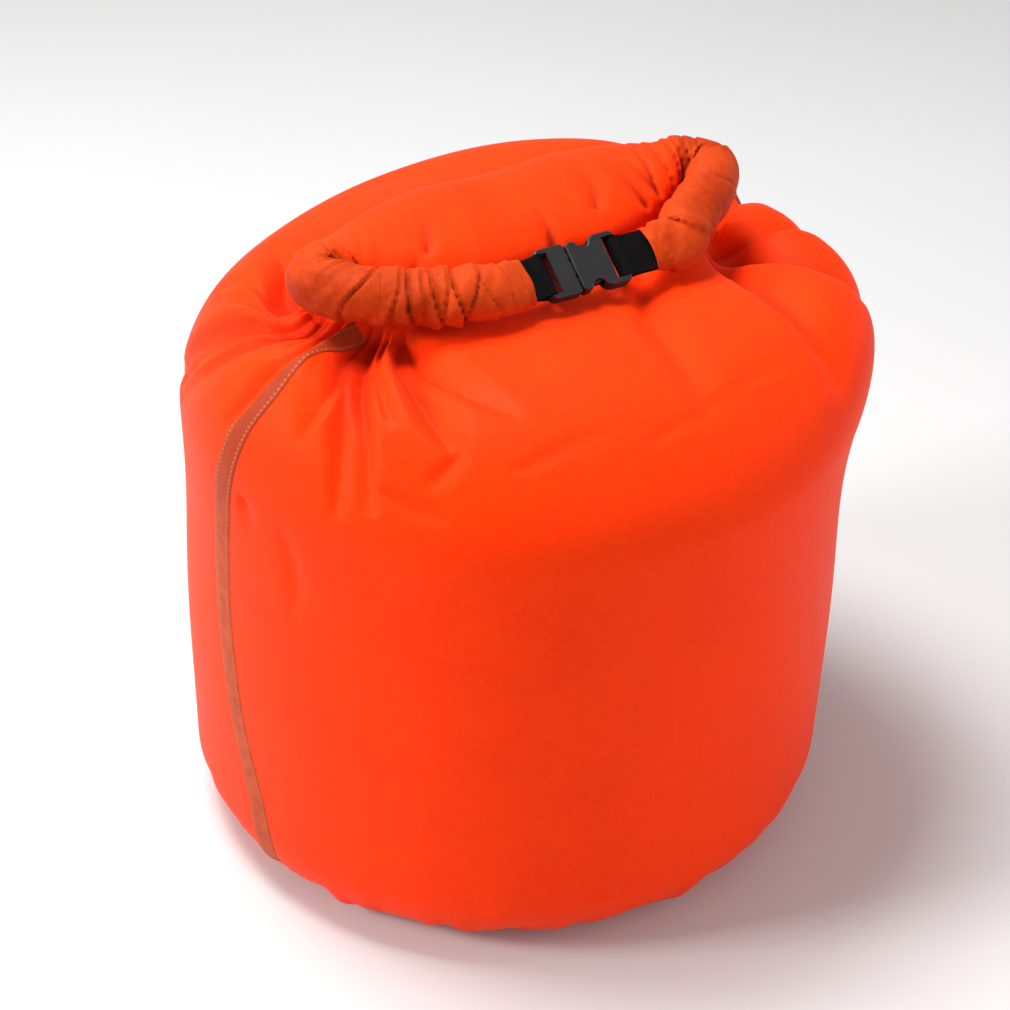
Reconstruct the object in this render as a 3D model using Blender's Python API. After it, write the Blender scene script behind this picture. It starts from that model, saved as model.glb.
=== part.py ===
"""A roll-top dry bag, filled with air, its mouth rolled down and buckled into a carrying loop.

Units are metres and +Z is up. The origin is on the floor, at the middle of the round bottom.
The front faces -Y and the roll runs along X. The bag leans a little, as a soft bag does.
"""

import math

import bmesh
import bpy
import numpy as np
from mathutils import Matrix, Vector

# Bag body
BODY_RADIUS = 0.162
SHOULDER_HEIGHT = 0.225
NECK_HEIGHT = SHOULDER_HEIGHT + 0.0615
NECK_HALF_LENGTH = 0.094
NECK_HALF_GAP = 0.010
NECK_BACK = 0.008  # how far the neck line lies behind the bottom's middle
BACK_PUFF = 0.030  # how far the air lifts the back of the shoulder
FRONT_PUFF = 0.006
BOTTOM_EDGE_RADIUS = 0.042
LEAN = (0.008, -0.005)  # how far the shoulder stands off the bottom's middle
FABRIC_WALL = 0.0010
FIT_GAP = 0.0003
TAPE_GAP = 0.0008  # a tape lies inside the panels' facets
BOTTOM_SEAM_LEVEL = 0.45  # where the bottom panel ends on the rounded edge, from 0 to 1
NECK_LEVEL = 2.995  # where the panels end under the roll, just short of 3

# Seams and tapes
SEAM_WIDTH = 0.010
TAPE_WIDTH = 0.020
STRIP_THICKNESS = 0.0006

WEBBING_WIDTH = 0.020  # sets the buckle's width and that of the roll's ends

# Rolled mouth
ROLL_HEIGHT = NECK_HEIGHT + 0.0175  # the roll lies on the neck
ROLL_HALF_LENGTH = NECK_HALF_LENGTH + 0.014
ROLL_MIDDLE = 0.009  # X of the roll's middle
ROLL_BACK = 0.006
LOOP_FRONT = -0.047  # Y of the buckle and of the two roll ends
LEFT_BEND_RISE = 0.003
RIGHT_BEND_RISE = 0.014
MIDDLE_RISE = 0.003
MIDDLE_HALF_WIDTH = 0.030
MIDDLE_HALF_THICKNESS = 0.0145
MIDDLE_TILT = math.radians(12)
BEND_RADIUS = 0.0142
END_HALF_WIDTH = WEBBING_WIDTH / 2 + 0.0037
END_HALF_THICKNESS = 0.0095
ROLL_WALL = 0.0025
END_STRAIGHT = 0.019

# Stiffening strips in the mouth's hems
STIFFENER_WIDTH = 0.012
STIFFENER_THICKNESS = 0.0010
STIFFENER_SPACING = 0.0034
STIFFENER_SHORT_OF_END = 0.058

# Buckle. U runs left to right, V across it and W out of its face.
BUCKLE_X = 0.0132
BUCKLE_LEAN = math.radians(38)
BUCKLE_THICKNESS = 0.0070
BUCKLE_WALL = 0.0013
WEBBING_THICKNESS = 0.0011
WEBBING_TAIL = 0.015
LEFT_FREE_WEBBING = 0.007
RIGHT_FREE_WEBBING = 0.015
FRAME_HALF_WIDTH = WEBBING_WIDTH / 2 + 0.0030
FRAME_RAIL = 0.0024
BAR_WIDTH = 0.0026
BAR_THICKNESS = 0.0026
PLUG_END = -0.0212
PLUG_BASE_START = -0.0150
PLUG_BASE_END = -0.0055
MOUTH = -0.0047
MOUTH_LIP_END = 0.0003
SOCKET_MOUTH_HALF_WIDTH = FRAME_HALF_WIDTH - 0.0008
SOCKET_WAIST_HALF_WIDTH = FRAME_HALF_WIDTH - 0.0048
SOCKET_LIP_INSIDE = FRAME_HALF_WIDTH - 0.0043
SOCKET_POCKET_INSIDE = FRAME_HALF_WIDTH - 0.0026
SOCKET_POCKET_END = 0.0098
SOCKET_SLOT_START = 0.0136
SOCKET_END = 0.0210
PRONG_ROOT_GAP = 0.0003
PRONG_TIP = 0.0086
PRONG_CATCH = 0.0008
PRONG_ARM = 0.0021
PRONG_ROOT_V = FRAME_HALF_WIDTH - 0.0065
TONGUE_HALF_WIDTH = 0.0031

AROUND = 26


# ---------------------------------------------------------------- scene and materials

def clear_scene():
    """Remove every object that the file opened with."""
    for thing in list(bpy.data.objects):
        bpy.data.objects.remove(thing, do_unlink=True)


def finish(name, colour, roughness, metallic=0.0):
    """Make a Principled material."""
    made = bpy.data.materials.new(name)
    made.use_nodes = True
    shader = made.node_tree.nodes["Principled BSDF"]
    shader.inputs["Base Color"].default_value = (*colour, 1.0)
    shader.inputs["Roughness"].default_value = roughness
    shader.inputs["Metallic"].default_value = metallic
    return made


def add_object(name, mesh, material, smooth=True):
    """Link a mesh to the scene as a named object."""
    thing = bpy.data.objects.new(name, mesh)
    bpy.context.scene.collection.objects.link(thing)
    mesh.materials.append(material)
    if smooth:
        mesh.shade_smooth()
        mesh.set_sharp_from_angle(angle=math.radians(35))
    return thing


def thicken(thing, thickness):
    """Give an open surface a wall on its inner side, with closed rims."""
    wall = thing.modifiers.new("wall", "SOLIDIFY")
    wall.thickness = thickness
    wall.offset = -1.0
    wall.use_rim = True
    wall.use_even_offset = False
    return thing


# ---------------------------------------------------------------- surfaces

def grid_mesh(name, points, closed_around=False, closed_along=False):
    """A mesh of quads from an array of rows, (rows, columns, 3), whose faces point to
    (along the columns) x (along the rows). A grid closed around joins its last column to
    its first, and one closed along joins its last row to its first."""
    rows, columns = points.shape[:2]
    index = np.arange(rows * columns).reshape(rows, columns)
    if closed_around:
        index = np.hstack([index, index[:, :1]])
    if closed_along:
        index = np.vstack([index, index[:1]])
    quads = np.stack([index[:-1, :-1], index[:-1, 1:], index[1:, 1:], index[1:, :-1]], -1)
    mesh = bpy.data.meshes.new(name)
    mesh.from_pydata(points.reshape(-1, 3).tolist(), [], quads.reshape(-1, 4).tolist())
    mesh.update()
    return mesh


def body_surface(theta, level):
    """The bag's outer surface. theta goes round from +X over +Y. level climbs the rounded
    bottom edge from 0 to 1, the wall from 1 to 2 and the shoulder from 2 to 3, where it
    closes on the neck line under the roll."""
    theta, level = np.broadcast_arrays(np.asarray(theta, float), np.asarray(level, float))
    edge = np.clip(level, 0, 1) * math.pi / 2
    wall = np.clip(level - 1, 0, 1)
    dome = np.clip(level - 2, 0, 1) * math.pi / 2
    radius = BODY_RADIUS - BOTTOM_EDGE_RADIUS * (1 - np.sin(edge))
    height = BOTTOM_EDGE_RADIUS * (1 - np.cos(edge))
    height = height + (SHOULDER_HEIGHT - BOTTOM_EDGE_RADIUS) * wall
    height = height + (NECK_HEIGHT - SHOULDER_HEIGHT) * np.sin(dome)
    back = (1 + np.sin(theta)) / 2
    puff = FRONT_PUFF + (BACK_PUFF - FRONT_PUFF) * back
    height = height + puff * np.sin(2 * dome) ** 2
    closing = 1 - np.cos(dome)
    x = radius * np.cos(theta) * (1 - closing) + NECK_HALF_LENGTH * np.cos(theta) * closing
    y = radius * np.sin(theta) * (1 - closing)
    y = y + (NECK_BACK - LEAN[1] + NECK_HALF_GAP * np.sin(theta)) * closing
    lean = np.clip(height / SHOULDER_HEIGHT, 0, 1)
    return np.stack([x + LEAN[0] * lean, y + LEAN[1] * lean, height], -1)


def body_normal(theta, level):
    """The outward normal of body_surface, from its slopes."""
    step = 1e-4
    level = np.clip(level, step, 3 - step)
    around = body_surface(theta + step, level) - body_surface(theta - step, level)
    up = body_surface(theta, level + step) - body_surface(theta, level - step)
    normal = np.cross(around, up)
    return normal / np.linalg.norm(normal, axis=-1, keepdims=True)


def body_patch(name, thetas, levels, material, offset, thickness):
    """A patch of fabric that lies off the body surface by offset, with its wall inward."""
    theta, level = np.meshgrid(thetas, levels)
    points = body_surface(theta, level) + offset * body_normal(theta, level)
    return thicken(add_object(name, grid_mesh(name, points), material), thickness)


def side_levels():
    """Levels up the side, from the bottom seam to the neck: close on the rounded edge and
    the shoulder, wide on the wall. Every layer of the side uses them, so their facets agree."""
    edge = np.linspace(BOTTOM_SEAM_LEVEL + 2 * FIT_GAP / BOTTOM_EDGE_RADIUS, 1.0, 5)
    wall = np.linspace(1.0, 2.0, 6)[1:]
    dome = np.linspace(2.0, NECK_LEVEL, 10)[1:]
    return np.concatenate([edge, wall, dome])


def bottom_levels():
    """Levels of the bottom panel, from its flat disc to the bottom seam."""
    return np.linspace(0, BOTTOM_SEAM_LEVEL, 4)


def make_side_panel(name, first, material):
    """Half of the bag's side, front or back, from one side seam to the other. Its side
    edges keep the fit gap from the other half's along the wall."""
    margin = FIT_GAP / BODY_RADIUS
    share = np.linspace(0, 1, AROUND + 1)
    thetas = first + margin + share * (math.pi - 2 * margin)
    return body_patch(name, thetas, side_levels(), material, 0.0, FABRIC_WALL)


def make_bottom_panel(name, material):
    """The round bottom: a flat disc and the lower part of the rounded edge."""
    sides = 2 * AROUND
    thetas = np.arange(sides) * 2 * math.pi / sides
    theta, level = np.meshgrid(thetas, bottom_levels())
    mesh = grid_mesh(name, body_surface(theta, level), closed_around=True)
    shape = bmesh.new()
    shape.from_mesh(mesh)
    shape.verts.ensure_lookup_table()
    shape.faces.new([shape.verts[i] for i in reversed(range(sides))])
    shape.to_mesh(mesh)
    shape.free()
    return thicken(add_object(name, mesh, material), FABRIC_WALL)


def make_seam_strip(name, middle, material, width, offset, short):
    """A strip that covers a side seam. It starts above the bottom seam's tape, and ends
    short of the neck by a number of levels."""
    half = width / 2 / BODY_RADIUS
    thetas = middle + np.linspace(-half, half, 4)
    return body_patch(name, thetas, side_levels()[2:-short], material, offset,
                      STRIP_THICKNESS)


def make_bottom_tape(name, material):
    """The tape that seals the bottom seam on the inside, all the way round."""
    sides = 2 * AROUND
    thetas = np.arange(sides) * 2 * math.pi / sides
    theta, level = np.meshgrid(thetas, [*bottom_levels()[1:], *side_levels()[:2]])
    inside = -(FABRIC_WALL + TAPE_GAP)
    points = body_surface(theta, level) + inside * body_normal(theta, level)
    mesh = grid_mesh(name, points, closed_around=True)
    return thicken(add_object(name, mesh, material), STRIP_THICKNESS)


# ---------------------------------------------------------------- rolled mouth

def smooth_curve(points, samples=24):
    """A smooth curve through every point, each span an equal number of samples
    (Catmull-Rom), for columns of any number of values."""
    points = np.asarray(points, float)
    ends = np.vstack([2 * points[0] - points[1], points, 2 * points[-1] - points[-2]])
    t = np.linspace(0, 1, samples, endpoint=False)[:, None]
    spans = []
    for a, b, c, d in zip(ends, ends[1:], ends[2:], ends[3:]):
        curve = 2 * b + (c - a) * t
        curve = curve + (2 * a - 5 * b + 4 * c - d) * t ** 2
        spans.append((curve + (3 * b - a - 3 * c + d) * t ** 3) / 2)
    return np.vstack([*spans, points[-1:]])


def roll_line():
    """The rolled mouth from its left end, round the left bend, along the middle, round the
    right bend to its right end: rows of X, Y, Z, half width, half thickness and tilt."""
    left = ROLL_MIDDLE - ROLL_HALF_LENGTH
    right = ROLL_MIDDLE + ROLL_HALF_LENGTH
    left_end = BUCKLE_X + PLUG_END - LEFT_FREE_WEBBING
    right_end = BUCKLE_X + SOCKET_END + RIGHT_FREE_WEBBING
    low, left_top = ROLL_HEIGHT, ROLL_HEIGHT + LEFT_BEND_RISE
    right_top, middle_top = ROLL_HEIGHT + RIGHT_BEND_RISE, ROLL_HEIGHT + MIDDLE_RISE
    end = (END_HALF_WIDTH, END_HALF_THICKNESS, -BUCKLE_LEAN)
    arm = (END_HALF_WIDTH, 0.011, -0.8 * BUCKLE_LEAN)
    turn = (BEND_RADIUS, 0.0135, -0.3 * BUCKLE_LEAN)
    start = (0.019, 0.0140, 0.3 * MIDDLE_TILT)
    middle = (MIDDLE_HALF_WIDTH, MIDDLE_HALF_THICKNESS, MIDDLE_TILT)
    back = ROLL_BACK
    return np.array([
        (left_end, LOOP_FRONT, low, *end),
        (left_end - END_STRAIGHT, LOOP_FRONT + 0.0005, low, *end),
        (left + 0.037, LOOP_FRONT + 0.010, low, *arm),
        (left + 0.010, LOOP_FRONT + 0.026, left_top - 0.001, *turn),
        (left, LOOP_FRONT + 0.042, left_top, *turn),
        (left + 0.012, back + 0.001, left_top, *turn),
        (left + 0.034, back + 0.002, left_top - 0.001, *start),
        (left + 0.066, back, middle_top, *middle),
        (ROLL_MIDDLE, back, middle_top, *middle),
        (right - 0.066, back, middle_top + 0.002, *middle),
        (right - 0.034, back + 0.002, right_top - 0.004, *start),
        (right - 0.012, back + 0.001, right_top, *turn),
        (right, LOOP_FRONT + 0.042, right_top, *turn),
        (right - 0.010, LOOP_FRONT + 0.026, right_top - 0.004, *turn),
        (right - 0.034, LOOP_FRONT + 0.009, low + 0.004, *arm),
        (right_end + END_STRAIGHT, LOOP_FRONT + 0.0005, low + 0.0005, *end),
        (right_end, LOOP_FRONT, low, *end),
    ])


LEFT_TURN, LEFT_START, RIGHT_START, RIGHT_TURN = 3, 6, 10, 13  # the line's points at the joins


class Roll:
    """The roll's line by length, with a frame at each place."""

    def __init__(self):
        rows = roll_line()
        self.rows = smooth_curve(rows)
        runs = np.linalg.norm(np.diff(self.rows[:, :3], axis=0), axis=1)
        self.length = np.concatenate([[0], np.cumsum(runs)])
        samples = (len(self.rows) - 1) // (len(rows) - 1)
        self.knots = self.length[::samples]
        self.whole = self.length[-1]

    def at(self, where):
        """Centres, outward directions, upward directions and sizes at lengths along it."""
        columns = [np.interp(where, self.length, column) for column in self.rows.T]
        step = 0.002
        ahead, behind = (
            np.stack([np.interp(np.clip(where + d, 0, self.whole), self.length, column)
                      for column in self.rows[:, :3].T], -1)
            for d in (step, -step)
        )
        along = ahead - behind
        along /= np.linalg.norm(along, axis=-1, keepdims=True)
        outward = np.cross([0, 0, 1], along)
        outward /= np.linalg.norm(outward, axis=-1, keepdims=True)
        upward = np.cross(along, outward)
        tilt = columns[5][:, None]
        wide = np.cos(tilt) * outward + np.sin(tilt) * upward
        thin = np.cos(tilt) * upward - np.sin(tilt) * outward
        return np.stack(columns[:3], -1), wide, thin, columns[3], columns[4]

    def tube(self, name, start, stop, rings, sides, material):
        """A length of the roll, as an oval tube with a wall of rolled fabric. Its end
        faces lie in the planes of the joins, half the fit gap away from them."""
        centre, wide, thin, half_width, half_thickness = self.at(np.linspace(start, stop, rings))
        along = np.cross(wide, thin)
        centre[0] += along[0] * FIT_GAP / 2
        centre[-1] -= along[-1] * FIT_GAP / 2
        angle = np.arange(sides) * 2 * math.pi / sides

        def oval(less):
            width, thickness = half_width - less, half_thickness - less
            across = np.cos(angle)[None, :, None] * (width[:, None] * wide)[:, None]
            over = np.sin(angle)[None, :, None] * (thickness[:, None] * thin)[:, None]
            return centre[:, None] + across + over

        points = np.concatenate([oval(0.0), oval(ROLL_WALL)[::-1]])
        mesh = grid_mesh(name, points, closed_around=True, closed_along=True)
        return add_object(name, mesh, material)

    def strip(self, name, side, material):
        """A flat strip inside the roll, off its centre by half the strips' spacing."""
        where = np.linspace(STIFFENER_SHORT_OF_END, self.whole - STIFFENER_SHORT_OF_END, 40)
        centre, wide, thin, _, _ = self.at(where)
        centre = centre + side * STIFFENER_SPACING / 2 * thin
        share = np.linspace(-0.5, 0.5, 2)[None, :, None]
        points = centre[:, None] + STIFFENER_WIDTH * share * wide[:, None]
        thing = thicken(add_object(name, grid_mesh(name, points), material),
                        STIFFENER_THICKNESS)
        thing.modifiers["wall"].offset = 0.0
        return thing


# ---------------------------------------------------------------- buckle and webbing

BUCKLE_PLACE = Matrix.Translation((BUCKLE_X, LOOP_FRONT, ROLL_HEIGHT)) @ Matrix.Rotation(
    BUCKLE_LEAN, 4, "X")


def plate(name, outline, low, high, material=None, bevel=0.0):
    """An outline in U and V extruded from low to high in W, in the buckle's frame.
    The outline runs anticlockwise. A plate with no material is a cutter."""
    shape = bmesh.new()
    corners = [shape.verts.new((u, v, low)) for u, v in outline]
    face = shape.faces.new(corners)
    grown = bmesh.ops.extrude_face_region(shape, geom=[face])
    raised = [g for g in grown["geom"] if isinstance(g, bmesh.types.BMVert)]
    bmesh.ops.translate(shape, vec=Vector((0, 0, high - low)), verts=raised)
    bmesh.ops.recalc_face_normals(shape, faces=shape.faces)
    mesh = bpy.data.meshes.new(name)
    shape.to_mesh(mesh)
    shape.free()
    if material is None:
        thing = bpy.data.objects.new(name, mesh)
        bpy.context.scene.collection.objects.link(thing)
        thing.hide_render = True
        thing.display_type = "WIRE"
    else:
        thing = add_object(name, mesh, material)
    if bevel:
        rounding = thing.modifiers.new("rounding", "BEVEL")
        rounding.width = bevel
        rounding.segments = 2
        rounding.limit_method = "ANGLE"
        rounding.angle_limit = math.radians(50)
    thing.matrix_world = BUCKLE_PLACE
    return thing


def rectangle(u0, u1, v0, v1):
    """Corners of a rectangle, anticlockwise."""
    return [(u0, v0), (u1, v0), (u1, v1), (u0, v1)]


def combine(thing, other, operation):
    """Add a Boolean with another object, which is left as a guide."""
    step = thing.modifiers.new(operation.lower(), "BOOLEAN")
    step.operation = operation
    step.object = other
    return thing


def mirrored(half):
    """A closed outline from its upper half, given from right to left."""
    return half + [(u, -v) for u, v in reversed(half)]


def make_socket(name, material):
    """The receiving half: an hourglass shell open at its mouth and at its two side
    notches, with a slot and a bar for the webbing."""
    mouth, waist, frame = SOCKET_MOUTH_HALF_WIDTH, SOCKET_WAIST_HALF_WIDTH, FRAME_HALF_WIDTH
    notch = [(0.0040 + 0.0034 * math.cos(a), waist + 0.0034 - 0.0034 * math.sin(a))
             for a in np.linspace(0.1, math.pi - 0.1, 7)]
    upper = [(SOCKET_END, frame - 0.0024), (SOCKET_END - 0.0012, frame - 0.0006),
             (SOCKET_END - 0.0030, frame), (0.0112, frame), (0.0090, frame - 0.0006),
             *notch, (-0.0004, mouth - 0.0002), (-0.0030, mouth), (MOUTH, mouth - 0.0010)]
    half = BUCKLE_THICKNESS / 2
    shell = plate(name, mirrored(upper), -half, half, material, bevel=0.0007)
    inside = half - BUCKLE_WALL
    lip = plate("mouth_cutter", rectangle(MOUTH - 0.002, 0.002, -SOCKET_LIP_INSIDE,
                                          SOCKET_LIP_INSIDE), -inside, inside)
    pocket = plate("pocket_cutter", rectangle(MOUTH_LIP_END, SOCKET_POCKET_END,
                                              -SOCKET_POCKET_INSIDE, SOCKET_POCKET_INSIDE),
                   -inside, inside)
    slot = plate("socket_slot_cutter",
                 rectangle(SOCKET_SLOT_START, SOCKET_END - BAR_WIDTH,
                           -frame + FRAME_RAIL, frame - FRAME_RAIL), -0.01, 0.01)
    for cutter in (lip, pocket, slot):
        combine(shell, cutter, "DIFFERENCE")
    for side, low, high in (("upper", BAR_THICKNESS / 2, 0.01), ("lower", -0.01, -BAR_THICKNESS / 2)):
        relief = plate(f"socket_bar_{side}_cutter",
                       rectangle(SOCKET_END - BAR_WIDTH - 0.0002, SOCKET_END + 0.01,
                                 -WEBBING_WIDTH / 2 - 0.0005, WEBBING_WIDTH / 2 + 0.0005), low, high)
        combine(shell, relief, "DIFFERENCE")
    return shell


def make_plug(name, material):
    """The inserting half: a frame with a slot and a bar for the webbing, a solid base at
    the socket's mouth, and a tongue that guides it between the prongs."""
    frame, half = FRAME_HALF_WIDTH - 0.0004, BUCKLE_THICKNESS / 2 - 0.0004
    upper = [(PLUG_BASE_END, frame - 0.0012), (PLUG_BASE_END - 0.0012, frame),
             (PLUG_END + 0.0034, frame), (PLUG_END + 0.0014, frame - 0.0006),
             (PLUG_END, frame - 0.0024)]
    body = plate(name, mirrored(upper), -half, half, material, bevel=0.0007)
    slot = plate("plug_slot_cutter",
                 rectangle(PLUG_END + BAR_WIDTH, PLUG_BASE_START, -frame + FRAME_RAIL,
                           frame - FRAME_RAIL), -0.01, 0.01)
    combine(body, slot, "DIFFERENCE")
    for side, low, high in (("upper", BAR_THICKNESS / 2, 0.01), ("lower", -0.01, -BAR_THICKNESS / 2)):
        relief = plate(f"plug_bar_{side}_cutter",
                       rectangle(PLUG_END - 0.01, PLUG_END + BAR_WIDTH + 0.0002,
                                 -WEBBING_WIDTH / 2 - 0.0005, WEBBING_WIDTH / 2 + 0.0005), low, high)
        combine(body, relief, "DIFFERENCE")
    inside = BUCKLE_THICKNESS / 2 - BUCKLE_WALL - FIT_GAP
    tongue = plate("tongue_guide",
                   [(PLUG_BASE_END - 0.001, -TONGUE_HALF_WIDTH),
                    (0.0075, -TONGUE_HALF_WIDTH), (0.0092, -TONGUE_HALF_WIDTH + 0.0014),
                    (0.0092, TONGUE_HALF_WIDTH - 0.0014), (0.0075, TONGUE_HALF_WIDTH),
                    (PLUG_BASE_END - 0.001, TONGUE_HALF_WIDTH)], -inside, inside)
    combine(body, tongue, "UNION")
    return body


def make_prong(name, side, material):
    """A springy prong beside the tongue. side is 1 for the upper one and -1 for the lower.
    Its head bulges into the socket's side notch and its shoulder catches behind the lip."""
    inner, outer = PRONG_ROOT_V - PRONG_ARM / 2, PRONG_ROOT_V + PRONG_ARM / 2
    root = PLUG_BASE_END + PRONG_ROOT_GAP
    shoulder = MOUTH_LIP_END + FIT_GAP
    reach = SOCKET_LIP_INSIDE + PRONG_CATCH
    outline = [(root, inner), (PRONG_TIP, inner + 0.0006), (PRONG_TIP, inner + 0.0016),
               (0.0068, reach - 0.0008), (0.0050, reach + 0.0001), (0.0030, reach + 0.0002),
               (shoulder, reach - 0.0001), (shoulder, outer), (root, outer)]
    if side < 0:
        outline = [(u, -v) for u, v in reversed(outline)]
    inside = BUCKLE_THICKNESS / 2 - BUCKLE_WALL - FIT_GAP
    return plate(name, outline, -inside, inside, material)


def make_webbing(name, bar_centre, tail_end, material):
    """Webbing folded round a bar: out of the roll's end, round the bar and back in.
    tail_end is the U of both cut ends, on either side of the bar."""
    away = math.copysign(1.0, bar_centre - tail_end)
    wrap = math.hypot(BAR_WIDTH, BAR_THICKNESS) / 2 + FIT_GAP + WEBBING_THICKNESS
    leg = FIT_GAP + WEBBING_THICKNESS
    turn = np.linspace(math.pi / 2, -math.pi / 2, 9)
    arc = [(bar_centre + away * wrap * math.cos(a), wrap * math.sin(a)) for a in turn]
    near = bar_centre - away * (wrap + BAR_WIDTH)
    upper = [(tail_end, leg), (near, leg), (bar_centre - away * BAR_WIDTH / 2, wrap)]
    lower = [(u, -w) for u, w in reversed(upper)]
    line = np.array(upper + arc + lower)
    if away < 0:
        line = line[::-1]
    across = np.array([WEBBING_WIDTH / 2, -WEBBING_WIDTH / 2])
    points = np.empty((len(line), 2, 3))
    points[..., 0] = line[:, :1]
    points[..., 1] = across[None]
    points[..., 2] = line[:, 1:]
    thing = add_object(name, grid_mesh(name, points), material)
    thing.matrix_world = BUCKLE_PLACE
    return thicken(thing, WEBBING_THICKNESS)


def make_bar_tack(name, middle, material):
    """The dense row of stitches that holds the webbing's tail in the roll's end."""
    low = 2 * FIT_GAP + WEBBING_THICKNESS
    return plate(name, rectangle(middle - 0.0012, middle + 0.0012, -0.0085, 0.0085),
                 low, low + STRIP_THICKNESS, material)


# ---------------------------------------------------------------- assembly

def make_body():
    """The waterproof bag itself: panels, outer seam strips and inner sealing tapes."""
    fabric = finish("coated_fabric", (0.93, 0.10, 0.02), 0.55)
    seam = finish("seam_strip", (0.80, 0.20, 0.09), 0.6)
    tape = finish("sealing_tape", (0.75, 0.72, 0.68), 0.35)
    make_side_panel("front_panel", math.pi, fabric)
    make_side_panel("back_panel", 0.0, fabric)
    make_bottom_panel("bottom_panel", fabric)
    outside = FIT_GAP + STRIP_THICKNESS
    inside = -(FABRIC_WALL + TAPE_GAP)
    for name, middle in (("left", math.pi), ("right", 0.0)):
        make_seam_strip(f"{name}_side_seam", middle, seam, SEAM_WIDTH, outside, 2)
        make_seam_strip(f"{name}_seam_tape", middle, tape, TAPE_WIDTH, inside, 4)
    make_bottom_tape("bottom_seam_tape", tape)


def make_roll():
    """The rolled mouth in five lengths, with the two stiffening strips inside it."""
    fabric = finish("rolled_fabric", (0.93, 0.13, 0.03), 0.55)
    plastic = finish("stiffener_plastic", (0.85, 0.85, 0.83), 0.4)
    roll = Roll()
    joins = [0.0, *(roll.knots[k] for k in (LEFT_TURN, LEFT_START, RIGHT_START, RIGHT_TURN)),
             roll.whole]
    names = ("roll_left_end", "roll_left_bend", "roll_middle", "roll_right_bend",
             "roll_right_end")
    rings = (8, 12, 14, 12, 8)
    for name, start, stop, count in zip(names, joins, joins[1:], rings):
        roll.tube(name, start, stop, count, 16, fabric)
    roll.strip("front_stiffener", -1, plastic)
    roll.strip("back_stiffener", 1, plastic)


def make_buckle():
    """The side-release buckle, its webbing and the stitching that holds the webbing."""
    moulded = finish("moulded_plastic", (0.045, 0.042, 0.043), 0.38)
    webbing = finish("webbing", (0.008, 0.008, 0.009), 0.8)
    thread = finish("thread", (0.01, 0.01, 0.01), 0.7)
    make_socket("buckle_socket", moulded)
    make_plug("buckle_plug", moulded)
    make_prong("prong_upper", 1, moulded)
    make_prong("prong_lower", -1, moulded)
    left_tail = PLUG_END - LEFT_FREE_WEBBING - WEBBING_TAIL
    right_tail = SOCKET_END + RIGHT_FREE_WEBBING + WEBBING_TAIL
    make_webbing("left_webbing", PLUG_END + BAR_WIDTH / 2, left_tail, webbing)
    make_webbing("right_webbing", SOCKET_END - BAR_WIDTH / 2, right_tail, webbing)
    make_bar_tack("left_bar_tack", left_tail + 0.006, thread)
    make_bar_tack("right_bar_tack", right_tail - 0.006, thread)


clear_scene()
make_body()
make_roll()
make_buckle()
bpy.context.view_layer.update()
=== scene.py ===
# %% [markdown]
# # A roll-top dry bag
# The bag is full of air, so its coated fabric is tight at the wall and gathered in deep creases
# where the mouth is rolled, bent round and buckled. Everything is placed in metres, in the frame
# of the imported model, which is loaded first.

import math

import bpy
import numpy as np
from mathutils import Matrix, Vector


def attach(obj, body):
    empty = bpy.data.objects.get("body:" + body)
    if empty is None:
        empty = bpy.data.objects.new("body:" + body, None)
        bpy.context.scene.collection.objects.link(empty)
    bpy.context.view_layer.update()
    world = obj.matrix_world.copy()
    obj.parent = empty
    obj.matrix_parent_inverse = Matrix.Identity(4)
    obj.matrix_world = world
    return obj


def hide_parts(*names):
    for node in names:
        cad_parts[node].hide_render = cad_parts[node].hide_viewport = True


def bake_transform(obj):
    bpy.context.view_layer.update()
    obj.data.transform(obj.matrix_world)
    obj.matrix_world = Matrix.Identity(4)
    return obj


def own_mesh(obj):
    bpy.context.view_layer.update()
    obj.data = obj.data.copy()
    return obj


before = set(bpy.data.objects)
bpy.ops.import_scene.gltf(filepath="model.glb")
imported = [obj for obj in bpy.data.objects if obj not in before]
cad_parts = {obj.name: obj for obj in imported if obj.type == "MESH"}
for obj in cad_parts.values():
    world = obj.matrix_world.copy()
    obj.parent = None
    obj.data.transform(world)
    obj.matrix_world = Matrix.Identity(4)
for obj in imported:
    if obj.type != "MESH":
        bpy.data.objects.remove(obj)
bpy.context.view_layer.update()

# %% [markdown]
# ## Camera, light and floor
# A long lens from above and to the left keeps the bag's outline round. The light is a soft box
# overhead and a smaller one on the left, which picks out the creases, with two weak fills from
# the right and the front. A pale floor and a white surround keep the orange clean.

# %% The camera
scene = bpy.context.scene
scene.view_settings.view_transform = "Standard"
CAMERA_TARGET = Vector((0.0007, -0.0004, 0.1548))
CAMERA_DISTANCE = 1.075
CAMERA_TURN, CAMERA_RISE = math.radians(-30), math.radians(33)
LENS_MM, SENSOR_MM = 76.63, 36

camera = bpy.data.objects.new("camera", bpy.data.cameras.new("camera"))
scene.collection.objects.link(camera)
camera.data.lens, camera.data.sensor_width = LENS_MM, SENSOR_MM
toward_camera = Vector((math.sin(CAMERA_TURN) * math.cos(CAMERA_RISE),
                        -math.cos(CAMERA_TURN) * math.cos(CAMERA_RISE), math.sin(CAMERA_RISE)))
camera.location = CAMERA_TARGET + toward_camera * CAMERA_DISTANCE
camera.rotation_euler = (-toward_camera).to_track_quat("-Z", "Y").to_euler()
scene.camera = camera
print("camera at", [round(v, 4) for v in camera.location])

# %% Lights
SOFT_BOXES = (  # name, place, side in metres and power in watts
    ("light_above", (-0.30, 0.40, 1.9), 0.7, 40),
    ("light_left", (-1.70, 0.45, 1.00), 0.45, 27),
    ("light_right", (1.7, -1.1, 0.8), 1.2, 7),
    ("light_front", (0.35, -1.9, 0.9), 1.0, 7),
)
SURROUND = 0.42


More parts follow.
